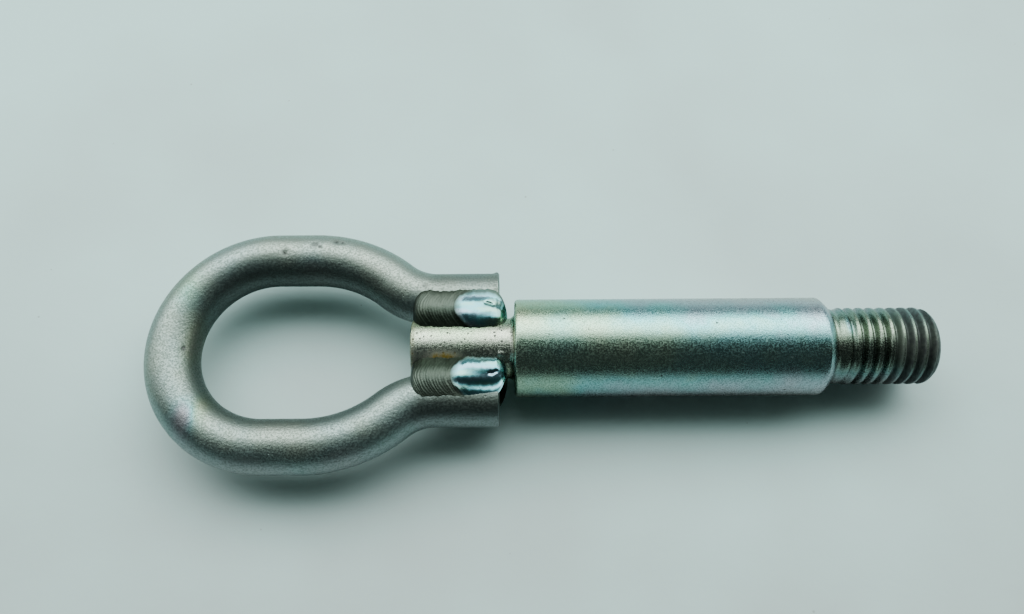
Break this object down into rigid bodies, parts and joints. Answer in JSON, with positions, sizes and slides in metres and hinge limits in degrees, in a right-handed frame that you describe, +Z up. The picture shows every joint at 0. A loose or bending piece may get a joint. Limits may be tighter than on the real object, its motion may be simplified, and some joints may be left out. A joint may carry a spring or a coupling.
{
  "type": "tow eye",
  "caption": "Screw-in tow eye: turned shank with a coarse left-hand thread at one end, and a bent round bar welded to its neck as the towing eye.",
  "frame": {"origin": "on the shank's axis, at the shoulder where the plain shank ends and the thread side begins", "axes": "+X along the shank towards the thread's tip; the eye lies flat in the XY plane; +Z up as the part lies"},
  "size_m": [0.1825, 0.0586, 0.0228],
  "materials": {
    "turned_zinc": "turned steel, bright zinc plated and clear passivated with faint green and violet tints",
    "bar_zinc": "drawn round bar, zinc plated over a slightly grainy surface with nicks",
    "weld_zinc": "arc weld bead, zinc plated, rippled and matt with a smooth shiny end pool"
  },
  "bodies": {
    "root": {"shank": "turned_zinc", "eye_bar": "bar_zinc", "weld_upper_left": "weld_zinc", "weld_upper_right": "weld_zinc", "weld_lower_left": "weld_zinc", "weld_lower_right": "weld_zinc"}
  },
  "joints": []
}
